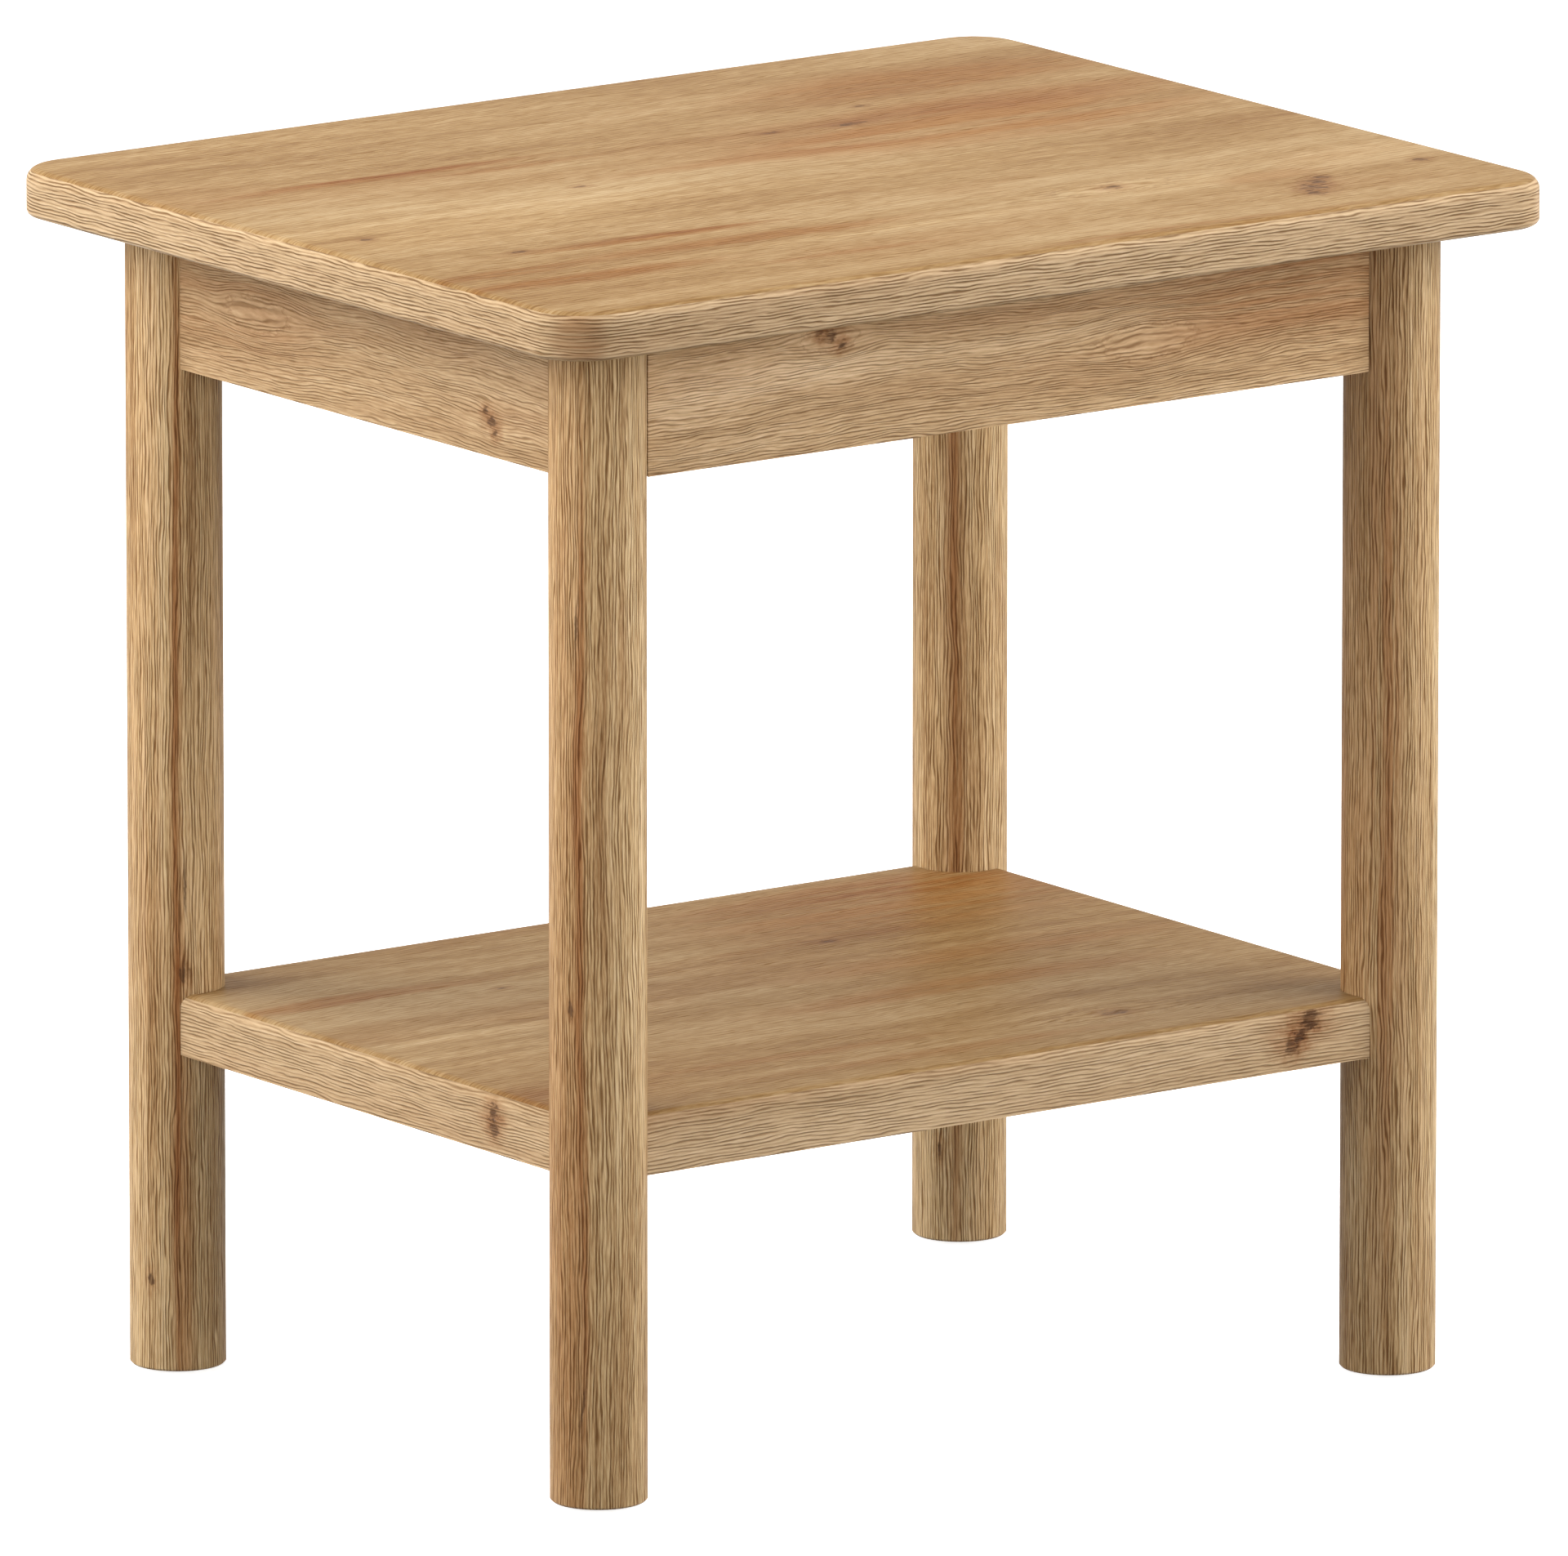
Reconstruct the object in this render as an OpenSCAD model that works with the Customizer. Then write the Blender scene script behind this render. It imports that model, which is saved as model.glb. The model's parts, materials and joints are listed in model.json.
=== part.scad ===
// Side table with round legs, a lower shelf and one shallow drawer behind a handle-less front.
// Millimetres, +Z up. The origin is on the floor under the middle of the tabletop, the long
// side runs along X and the drawer opens towards -Y.

/* [Tabletop] */
// Length of the tabletop, left to right
top_l = 552; // [520:1:600]
// Depth of the tabletop, front to back
top_w = 440; // [430:1:480]
// Thickness of the tabletop
top_t = 22; // [20:1:28]
// Radius of the tabletop's corners, seen from above
top_r = 26; // [16:1:40]
// Round-over along the upper edges of the tabletop and the shelf
edge_r = 6; // [3:0.5:8]
// Round-over along the lower edge of the tabletop
under_r = 3; // [1:0.5:4]

/* [Legs] */
// Height of the table, floor to tabletop surface
height = 556; // [500:1:620]
// Diameter of the round legs
leg_d = 44; // [42:1:48]
// Distance from the tabletop's edge to the outside of a leg
leg_inset = 33; // [30:1:40]
// Bevel around the foot of a leg
foot_bevel = 1; // [0.5:0.1:2]
// Diameter of the plastic glide under each leg
glide_d = 24; // [18:1:30]
// Thickness of the glide
glide_t = 2; // [1:0.5:3]

/* [Aprons] */
// Height of the aprons and of the drawer front's zone under the tabletop
apron_h = 66; // [64:1:80]
// Thickness of the side and rear aprons, centred on the legs
apron_t = 20; // [18:1:22]
// Thickness of the flat rail across the front, over the drawer
rail_t = 16; // [12:1:16]
// Depth of that rail, front to back
rail_w = 36; // [30:1:38]

/* [Shelf] */
// Height of the shelf's underside over the floor
shelf_z = 150; // [100:1:220]
// Thickness of the shelf
shelf_t = 28; // [26:1:30]
// How far the shelf's edges stand out past the leg axes
shelf_out = 11; // [8:0.5:14]

/* [Drawer] */
// Thickness of the drawer front
front_t = 18; // [16:1:19]
// Gap between the drawer front and a leg
front_gap = 0.8; // [0.5:0.1:1.5]
// Gap between the drawer front and the tabletop
front_top_gap = 2; // [1.5:0.5:4]
// Thickness of the drawer's sides and back
box_t = 12; // [11:1:13]
// Height of the drawer's sides
box_h = 42; // [38:1:42]
// Length of the drawer's sides
box_l = 277; // [274:1:290]
// Thickness of the drawer's bottom panel
bottom_t = 4; // [3:0.5:5]

/* [Drawer slides] */
// Length of a slide
slide_l = 250; // [240:1:254]
// Height of a slide
slide_h = 27; // [26:0.5:28]
// Space that a slide takes between its spacer and the drawer
slide_t = 13; // [12.7:0.1:13.5]
// Sheet thickness of the slide members
sheet_t = 1.2; // [1:0.1:1.4]
// Diameter of the slide's balls
ball_d = 3.8; // [3.6:0.1:3.8]
// Balls in each of a slide's two rows
balls_per_row = 6; // [4:1:6]
// How far the drawer opens
drawer_travel = 182; // [120:1:184]

/* [Hidden] */

$fn = 64;
eps = 0.1;

oak = [0.77, 0.62, 0.43];
oak_inner = [0.85, 0.78, 0.66];
beech = [0.86, 0.72, 0.52];
zinc = [0.72, 0.73, 0.75];
steel = [0.60, 0.61, 0.63];
plastic = [0.16, 0.15, 0.14];

// Places of the frame
leg_r = leg_d / 2;
leg_x = top_l / 2 - leg_inset - leg_r;
leg_y = top_w / 2 - leg_inset - leg_r;
top_z = height - top_t;
apron_z = top_z - apron_h;
apron_in_x = leg_x - apron_t / 2;
apron_in_y = leg_y - apron_t / 2;
arc_n = 9;

// Fittings between the aprons or the shelf and the legs, measured from a leg's axis
cam_z = apron_z + 45;
dowel_z = apron_z + 15;
fit_depth = 11;
cam_reach = leg_r + 34;
cam_d = 15;
bolt_d = 7;
thread_d = 6;
dowel_d = 8;
dowel_l = 30;
bore_play = 0.2;
apron_cam_h = 13;
shelf_cam_h = 16.5;
shelf_bolt_z = shelf_z + shelf_t / 2;

// Every apron end as [side of leg in X, in Y, direction into the apron, side of its inner face]
apron_ends = concat(
    [for (sx = [-1, 1], sy = [-1, 1]) [sx, sy, -sy * 90, -sx * sy]],
    [for (sx = [-1, 1]) [sx, 1, sx > 0 ? 180 : 0, sx]]
);

// Front rail
rail_y = -leg_y + front_t - apron_t / 2 + 2;
rail_dowel_y = rail_y + rail_w / 2;
rail_screw_x = 120;

// Drawer and its slides
front_y = -leg_y - apron_t / 2;
front_h = apron_h - front_top_gap;
box_y = front_y + front_t;
spacer_in_x = leg_x - leg_r - 1;
box_x = spacer_in_x - slide_t;
box_z = apron_z + 4;
groove_z = box_z + 6;
groove_d = 5;
groove_play = 0.2;
slide_z = box_z + 17;
slide_y = -leg_y + leg_r + 1;
spacer_h = 30;
spacer_l = 260;
lip_h = 2.4;
inner_h = 16;
inner_d = 9;
cage_t = 0.8;
cage_l = 64;
cage_front = 2;
ball_pitch = (cage_l - 10) / (balls_per_row - 1);
race_z = (slide_h / 2 - sheet_t + inner_h / 2) / 2;
ball_x = box_x + 6;
cage_y = slide_y + cage_front + drawer_travel / 2;

// Screw places along a slide, a spacer and the drawer's corners
slide_screw_y = [12, 122, 238];
spacer_screw_y = [47, 157, 222];
drawer_fix_z = [box_z + 16, box_z + 33];

// Brackets under the tabletop, as [x, y, direction away from the apron]
bracket_w = 25;
bracket_l = 18;
bracket_t = 2;
brackets = concat(
    [for (sx = [-1, 1], y = [-50, 50]) [sx * apron_in_x, y, sx > 0 ? 180 : 0]],
    [for (x = [-90, 90]) [x, apron_in_y, -90]]
);

// ---------- Shapes that repeat ----------

function arc(cx, cy, r, from, to) =
    [for (i = [0:arc_n]) let (a = from + (to - from) * i / arc_n) [cx + r * cos(a), cy + r * sin(a)]];

// Places its children on a leg's axis, with X pointing the given way
module on_leg(sx, sy, turn) {
    translate([sx * leg_x, sy * leg_y, 0]) rotate([0, 0, turn]) children();
}

module at_apron_ends() {
    for (e = apron_ends) on_leg(e[0], e[1], e[2]) {
        $side = e[3];
        children();
    }
}

module at_shelf_corners() {
    for (sx = [-1, 1], sy = [-1, 1]) on_leg(sx, sy, atan2(-sy, -sx)) children();
}

// A cylinder along X from x0 to x1 at height z
module bar(d, x0, x1, z = 0) {
    translate([x0, 0, z]) rotate([0, 90, 0]) cylinder(d = d, h = x1 - x0);
}

// A countersunk wood screw along +X with the top of its head at the origin
module screw(d, l, head_d) {
    head_h = (head_d - d) / 2;
    rotate([0, 90, 0]) difference() {
        union() {
            cylinder(d1 = head_d, d2 = d, h = head_h);
            translate([0, 0, head_h]) cylinder(d = d, h = l - head_h - d);
            translate([0, 0, l - d]) cylinder(d1 = d, d2 = d / 4, h = d);
        }
        for (a = [0, 90]) rotate([0, 0, a])
            translate([-head_d / 4, -d / 12, -eps]) cube([head_d / 2, d / 6, head_h * 0.7 + eps]);
    }
}

// The hole that such a screw leaves in the piece it clamps and in the piece it bites
module screw_hole(d, l, head_d) {
    rotate([0, 90, 0]) {
        translate([0, 0, -eps]) cylinder(d1 = head_d + 2 * bore_play + 2 * eps, d2 = d + bore_play,
                                         h = (head_d - d) / 2 + eps);
        cylinder(d = d + bore_play, h = l + 1);
    }
}

// Cross-section of the tabletop's edge, reaching in by its corner radius
module top_edge_profile() {
    polygon(concat(
        [[0, 0]],
        arc(top_r - under_r, under_r, under_r, -90, 0),
        arc(top_r - edge_r, top_t - edge_r, edge_r, 0, 90),
        [[0, top_t]]
    ));
}

// Cross-section of the shelf, half_w to each side, with its upper corners rounded
module shelf_profile(half_w) {
    polygon(concat(
        [[-half_w, 0], [half_w, 0]],
        arc(half_w - edge_r, shelf_t - edge_r, edge_r, 0, 90),
        arc(-half_w + edge_r, shelf_t - edge_r, edge_r, 90, 180)
    ));
}

// ---------- Frame ----------

module tabletop() {
    inner_l = top_l - 2 * top_r;
    inner_w = top_w - 2 * top_r;
    color(oak) difference() {
        translate([0, 0, top_z]) union() {
            translate([-inner_l / 2, -inner_w / 2, 0]) cube([inner_l, inner_w, top_t]);
            for (a = [0, 180]) rotate([0, 0, a]) {
                translate([inner_l / 2, inner_w / 2, 0]) rotate([90, 0, 0])
                    linear_extrude(inner_w) top_edge_profile();
                translate([-inner_l / 2, inner_w / 2, 0]) rotate([90, 0, 90])
                    linear_extrude(inner_l) top_edge_profile();
                translate([inner_l / 2, inner_w / 2, 0])
                    rotate_extrude(angle = 90) top_edge_profile();
                translate([-inner_l / 2, inner_w / 2, 0]) rotate([0, 0, 90])
                    rotate_extrude(angle = 90) top_edge_profile();
            }
        }
        at_rail_screws() screw_hole(4, 30, 8);
        at_bracket_top_screws() screw_hole(4, 14, 7);
    }
}

module leg_blank() {
    translate([0, 0, glide_t]) cylinder(r1 = leg_r - foot_bevel, r2 = leg_r, h = foot_bevel);
    translate([0, 0, glide_t + foot_bevel]) cylinder(r = leg_r, h = top_z - glide_t - foot_bevel);
}

module leg_apron_bores() {
    bar(thread_d + bore_play, leg_r - fit_depth, leg_r + 1, cam_z);
    bar(dowel_d + bore_play, leg_r - fit_depth - 0.5, leg_r + 1, dowel_z);
}

// sx, sy: which corner; only the rear legs take the rear apron as well
module leg(sx, sy) {
    color(oak) translate([sx * leg_x, sy * leg_y, 0]) difference() {
        leg_blank();
        rotate([0, 0, -sy * 90]) leg_apron_bores();
        if (sy > 0) rotate([0, 0, sx > 0 ? 180 : 0]) leg_apron_bores();
        rotate([0, 0, atan2(-sy, -sx)])
            bar(thread_d + bore_play, leg_r - fit_depth, leg_r + 1, shelf_bolt_z);
        translate([0, 0, -eps]) cylinder(d = 3.2, h = 17);
    }
}

module leg_front_left() { leg(-1, -1); }
module leg_front_right() { leg(1, -1); }
module leg_rear_left() { leg(-1, 1); }
module leg_rear_right() { leg(1, 1); }

module leg_cutters(z, h) {
    for (sx = [-1, 1], sy = [-1, 1]) translate([sx * leg_x, sy * leg_y, z]) cylinder(r = leg_r, h = h);
}

module apron_end_bores() {
    bar(bolt_d + 1, leg_r - 1, cam_reach, cam_z);
    bar(dowel_d + bore_play, leg_r - 1, leg_r - fit_depth + dowel_l + 0.5, dowel_z);
    translate([cam_reach, $side * (apron_t / 2 + eps), cam_z]) rotate([$side * 90, 0, 0])
        cylinder(d = cam_d + bore_play, h = apron_cam_h + 1.5 + eps);
}

module side_apron(sx) {
    color(oak) difference() {
        translate([sx * leg_x - apron_t / 2, -leg_y, apron_z]) cube([apron_t, 2 * leg_y, apron_h]);
        leg_cutters(apron_z - 1, apron_h + 2);
        at_apron_ends() apron_end_bores();
        at_rail_dowels() bar(dowel_d + bore_play, -fit_depth - 0.5, 1);
        at_bracket_apron_screws() screw_hole(4, 14, 7);
        at_spacer_screws(sx) screw_hole(4, 24, 8);
    }
}

module side_apron_left() { side_apron(-1); }
module side_apron_right() { side_apron(1); }

module rear_apron() {
    color(oak) difference() {
        translate([-leg_x, apron_in_y, apron_z]) cube([2 * leg_x, apron_t, apron_h]);
        leg_cutters(apron_z - 1, apron_h + 2);
        at_apron_ends() apron_end_bores();
        at_bracket_apron_screws() screw_hole(4, 14, 7);
    }
}

// Places its children on an apron's inner face, at the middle of a rail end, X into the rail
module at_rail_dowels() {
    for (sx = [-1, 1]) translate([sx * apron_in_x, rail_dowel_y, top_z - rail_t / 2])
        rotate([0, 0, sx > 0 ? 180 : 0]) children();
}

// Places its children under the front rail, X pointing up
module at_rail_screws() {
    for (x = [-rail_screw_x, rail_screw_x]) translate([x, rail_dowel_y, top_z - rail_t])
        rotate([0, -90, 0]) children();
}

module front_top_rail() {
    color(oak_inner) difference() {
        translate([-apron_in_x, rail_y, top_z - rail_t]) cube([2 * apron_in_x, rail_w, rail_t]);
        leg_cutters(top_z - rail_t - 1, rail_t + 2);
        at_rail_dowels() bar(dowel_d + bore_play, -1, dowel_l - fit_depth + 0.5);
        at_rail_screws() screw_hole(4, 30, 8);
    }
}

module shelf_bores() {
    bar(bolt_d + 1, leg_r - 1, cam_reach, shelf_bolt_z);
    translate([cam_reach, 0, shelf_z - eps]) cylinder(d = cam_d + bore_play, h = shelf_cam_h + 2.5 + eps);
}

module lower_shelf() {
    half_x = leg_x + shelf_out;
    half_y = leg_y + shelf_out;
    color(oak) difference() {
        translate([0, 0, shelf_z]) intersection() {
            translate([0, half_y, 0]) rotate([90, 0, 0]) linear_extrude(2 * half_y) shelf_profile(half_x);
            translate([-half_x, 0, 0]) rotate([90, 0, 90]) linear_extrude(2 * half_x) shelf_profile(half_y);
        }
        leg_cutters(shelf_z - 1, shelf_t + 2);
        at_shelf_corners() shelf_bores();
    }
}

// ---------- Drawer slides ----------

// Mirrors its children, made for the right side, to the side sx
module on_side(sx) {
    if (sx > 0) children();
    else mirror([1, 0, 0]) children();
}

// Places its children on the spacer's inner face, X pointing into the apron
module at_spacer_screws(sx) {
    on_side(sx) for (y = spacer_screw_y) translate([spacer_in_x, slide_y + y, slide_z]) children();
}

// Places its children on the cabinet member's inside, X pointing into the spacer
module at_slide_cabinet_screws(sx) {
    on_side(sx) for (y = slide_screw_y)
        translate([spacer_in_x - sheet_t, slide_y + y, slide_z]) children();
}

// Places its children on the drawer member's inside, X pointing into the drawer's side
module at_slide_drawer_screws(sx) {
    on_side(sx) for (y = slide_screw_y)
        translate([box_x + sheet_t, slide_y + y, slide_z]) rotate([0, 0, 180]) children();
}

module runner_spacer(sx) {
    color(oak_inner) difference() {
        on_side(sx) translate([spacer_in_x, slide_y, slide_z - spacer_h / 2])
            cube([apron_in_x - spacer_in_x, spacer_l, spacer_h]);
        at_spacer_screws(sx) screw_hole(4, 24, 8);
        at_slide_cabinet_screws(sx) screw_hole(3.5, 12, 6);
    }
}

module runner_spacer_left() { runner_spacer(-1); }
module runner_spacer_right() { runner_spacer(1); }

// C-shaped sheet profile from the web at x = 0: height h, flanges d deep and end lips,
// which turn inwards when lip is positive and outwards when it is negative
module channel_profile(h, d, lip) {
    translate([0, -h / 2]) square([sheet_t, h]);
    for (s = [0, 1]) mirror([0, s]) {
        translate([0, h / 2 - sheet_t]) square([d, sheet_t]);
        if (lip > 0) translate([d - sheet_t, h / 2 - lip - sheet_t]) square([sheet_t, lip + sheet_t]);
        else translate([d - sheet_t, h / 2 - sheet_t]) square([sheet_t, sheet_t - lip]);
    }
}

// The channel runs along Y, opens towards -X from x, and is centred on the slide's height
module cabinet_channel() {
    translate([spacer_in_x, slide_y, slide_z]) mirror([1, 0, 0]) rotate([90, 0, 0])
        translate([0, 0, -slide_l]) linear_extrude(slide_l) channel_profile(slide_h, slide_t - 2.2, lip_h);
}

module drawer_channel() {
    translate([box_x, slide_y, slide_z]) rotate([90, 0, 0])
        translate([0, 0, -slide_l]) linear_extrude(slide_l) channel_profile(inner_h, inner_d, -sheet_t);
}

module slide_cabinet(sx) {
    color(zinc) difference() {
        on_side(sx) cabinet_channel();
        at_slide_cabinet_screws(sx) screw_hole(3.5, 12, 6);
    }
}

module slide_cabinet_left() { slide_cabinet(-1); }
module slide_cabinet_right() { slide_cabinet(1); }

module slide_drawer(sx) {
    color(zinc) difference() {
        on_side(sx) drawer_channel();
        at_slide_drawer_screws(sx) screw_hole(3.5, 10, 6);
    }
}

module slide_drawer_left() { slide_drawer(-1); }
module slide_drawer_right() { slide_drawer(1); }

// Places its children at every ball of one slide
module at_balls() {
    for (i = [0:balls_per_row - 1], s = [-1, 1])
        translate([ball_x, cage_y + 5 + i * ball_pitch, slide_z + s * race_z]) children();
}

// The cage is a thin channel between the two members that spaces the balls
module ball_cage(sx) {
    cage_h = 2 * race_z + cage_t;
    web_x = box_x + inner_d + 0.8;
    strip_x = ball_x - 2.6;
    color(steel) on_side(sx) difference() {
        translate([strip_x, cage_y, slide_z - cage_h / 2]) cube([web_x + cage_t - strip_x, cage_l, cage_h]);
        translate([strip_x - 1, cage_y - 1, slide_z - cage_h / 2 + cage_t])
            cube([web_x - strip_x + 1, cage_l + 2, cage_h - 2 * cage_t]);
        at_balls() cylinder(d = ball_d + 0.4, h = 3 * cage_t, center = true);
    }
}

module ball_cage_left() { ball_cage(-1); }
module ball_cage_right() { ball_cage(1); }

module slide_balls_left() { color(steel) on_side(-1) at_balls() sphere(d = ball_d); }
module slide_balls_right() { color(steel) on_side(1) at_balls() sphere(d = ball_d); }

// ---------- Drawer ----------

// The space that a front leg sweeps as the drawer comes forward past it
module leg_clearance() {
    r = leg_r + front_gap;
    for (sx = [-1, 1]) translate([sx * leg_x, -leg_y, apron_z - 1]) {
        cylinder(r = r, h = apron_h + 2);
        translate([-r - eps, 0, 0]) cube([2 * r + 2 * eps, 2 * front_t, apron_h + 2]);
    }
}

module drawer_front() {
    color(oak) difference() {
        translate([-leg_x, front_y, apron_z]) cube([2 * leg_x, front_t, front_h]);
        leg_clearance();
        bottom_groove();
        at_drawer_dowels() bar(dowel_d - 2 + bore_play, -fit_depth - 0.5, 1);
    }
}

// The groove that the bottom panel sits in, around the front, the sides and the back
module bottom_groove() {
    translate([-box_x + box_t - groove_d, box_y - groove_d, groove_z])
        cube([2 * (box_x - box_t + groove_d), box_l - box_t + 2 * groove_d, bottom_t + groove_play]);
}

// Places its children on the drawer front's back, X pointing into a side
module at_drawer_dowels() {
    for (sx = [-1, 1], z = drawer_fix_z)
        translate([sx * (box_x - box_t / 2), box_y, z]) rotate([0, 0, 90]) children();
}

// Places its children on a drawer side's outer face, X pointing into the back's end
module at_drawer_back_screws() {
    for (sx = [-1, 1], z = drawer_fix_z)
        translate([sx * box_x, box_y + box_l - box_t / 2, z])
            rotate([0, 0, sx > 0 ? 180 : 0]) children();
}

module drawer_side(sx) {
    color(oak_inner) difference() {
        on_side(sx) translate([box_x - box_t, box_y, box_z]) cube([box_t, box_l, box_h]);
        bottom_groove();
        at_drawer_dowels() bar(dowel_d - 2 + bore_play, -1, 13.5);
        at_drawer_back_screws() screw_hole(3.5, 35, 7);
        at_slide_drawer_screws(sx) screw_hole(3.5, 10, 6);
    }
}

module drawer_side_left() { drawer_side(-1); }
module drawer_side_right() { drawer_side(1); }

module drawer_back() {
    half = box_x - box_t;
    color(oak_inner) difference() {
        translate([-half, box_y + box_l - box_t, box_z]) cube([2 * half, box_t, box_h]);
        bottom_groove();
        at_drawer_back_screws() screw_hole(3.5, 35, 7);
    }
}

module drawer_bottom() {
    half = box_x - box_t + groove_d - 0.5;
    color(oak_inner) translate([-half, box_y - groove_d + 0.5, groove_z + groove_play / 2])
        cube([2 * half, box_l - box_t + 2 * groove_d - 1, bottom_t]);
}

// ---------- Fittings ----------

module foot_glides() {
    color(plastic) for (sx = [-1, 1], sy = [-1, 1]) translate([sx * leg_x, sy * leg_y, 0]) {
        cylinder(d1 = glide_d - 2, d2 = glide_d, h = glide_t / 2);
        translate([0, 0, glide_t / 2]) cylinder(d = glide_d, h = glide_t / 2);
        translate([0, 0, glide_t / 2]) cylinder(d = 3, h = 15);
    }
}

// A fluted beech dowel's outer form along X, with bevelled ends
module dowel(d, x0, x1) {
    bar(d, x0 + 1, x1 - 1);
    translate([x0, 0, 0]) rotate([0, 90, 0]) cylinder(d1 = d - 2, d2 = d, h = 1);
    translate([x1 - 1, 0, 0]) rotate([0, 90, 0]) cylinder(d1 = d, d2 = d - 2, h = 1);
}

module apron_dowels() {
    color(beech) at_apron_ends() translate([0, 0, dowel_z])
        dowel(dowel_d, leg_r - fit_depth, leg_r - fit_depth + dowel_l);
}

module rail_dowels() {
    color(beech) at_rail_dowels() dowel(dowel_d, -fit_depth, dowel_l - fit_depth);
}

module drawer_dowels() {
    color(beech) at_drawer_dowels() dowel(dowel_d - 2, -fit_depth, 13);
}

// Steel bolt that screws into a leg and ends in a head that the cam pulls on
module cam_bolt() {
    bar(thread_d, leg_r - fit_depth + 0.5, leg_r);
    bar(bolt_d, leg_r, cam_reach - 6);
    bar(bolt_d - 3, cam_reach - 6, cam_reach - 2.5);
    bar(bolt_d, cam_reach - 2.5, cam_reach);
}

// Cam disc with its axis along Z, its slotted face at z = 0 and the bolt entering at bolt_h
module cam(h, bolt_h) {
    difference() {
        cylinder(d = cam_d - bore_play, h = h);
        translate([0, 0, bolt_h]) bar(bolt_d + 1, -cam_d, 1.5);
        for (a = [45, 135]) rotate([0, 0, a]) translate([-4, -0.7, -eps]) cube([8, 1.4, 2 + eps]);
    }
}

module apron_cam_bolts() {
    color(zinc) at_apron_ends() translate([0, 0, cam_z]) cam_bolt();
}

module apron_cams() {
    color(zinc) at_apron_ends() translate([cam_reach, $side * apron_t / 2, cam_z])
        rotate([$side * 90, 0, 0]) cam(apron_cam_h, apron_t / 2);
}

module shelf_cam_bolts() {
    color(zinc) at_shelf_corners() translate([0, 0, shelf_bolt_z]) cam_bolt();
}

module shelf_cams() {
    color(zinc) at_shelf_corners() translate([cam_reach, 0, shelf_z]) cam(shelf_cam_h, shelf_t / 2);
}

module rail_screws() {
    color(zinc) at_rail_screws() screw(4, 30, 8);
}

// Places its children on a bracket's corner, X pointing away from the apron and Z up to the tabletop
module at_brackets() {
    for (b = brackets) translate([b[0], b[1], top_z]) rotate([0, 0, b[2]]) children();
}

// Places its children under a bracket's flange, X pointing up into the tabletop
module at_bracket_top_screws() {
    at_brackets() translate([bracket_l * 0.6, 0, -bracket_t]) rotate([0, -90, 0]) children();
}

// Places its children on a bracket's upright plate, X pointing into the apron
module at_bracket_apron_screws() {
    at_brackets() translate([bracket_t, 0, -bracket_l * 0.6]) rotate([0, 0, 180]) children();
}

module top_brackets() {
    color(zinc) difference() {
        at_brackets() {
            translate([0, -bracket_w / 2, -bracket_l]) cube([bracket_t, bracket_w, bracket_l]);
            translate([0, -bracket_w / 2, -bracket_t]) cube([bracket_l, bracket_w, bracket_t]);
        }
        at_bracket_top_screws() screw_hole(4, 14, 7);
        at_bracket_apron_screws() screw_hole(4, 14, 7);
    }
}

module bracket_screws() {
    color(zinc) {
        at_bracket_top_screws() screw(4, 14, 7);
        at_bracket_apron_screws() screw(4, 14, 7);
    }
}

module spacer_screws() {
    color(zinc) for (sx = [-1, 1]) at_spacer_screws(sx) screw(4, 24, 8);
}

module slide_cabinet_screws() {
    color(zinc) for (sx = [-1, 1]) at_slide_cabinet_screws(sx) screw(3.5, 12, 6);
}

module slide_drawer_screws() {
    color(zinc) for (sx = [-1, 1]) at_slide_drawer_screws(sx) screw(3.5, 10, 6);
}

module drawer_back_screws() {
    color(zinc) at_drawer_back_screws() screw(3.5, 35, 7);
}

tabletop();
leg_front_left();
leg_front_right();
leg_rear_left();
leg_rear_right();
side_apron_left();
side_apron_right();
rear_apron();
front_top_rail();
lower_shelf();
runner_spacer_left();
runner_spacer_right();
slide_cabinet_left();
slide_cabinet_right();
ball_cage_left();
ball_cage_right();
slide_balls_left();
slide_balls_right();
slide_drawer_left();
slide_drawer_right();
drawer_front();
drawer_side_left();
drawer_side_right();
drawer_back();
drawer_bottom();
foot_glides();
apron_dowels();
apron_cam_bolts();
apron_cams();
rail_dowels();
rail_screws();
shelf_cam_bolts();
shelf_cams();
top_brackets();
bracket_screws();
spacer_screws();
slide_cabinet_screws();
slide_drawer_screws();
drawer_dowels();
drawer_back_screws();
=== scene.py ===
"""Looks, light and camera for the side table with drawer.

Objects are in metres. Grain coordinates and every size given to the oak materials are in millimetres."""
import json
import math

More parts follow.
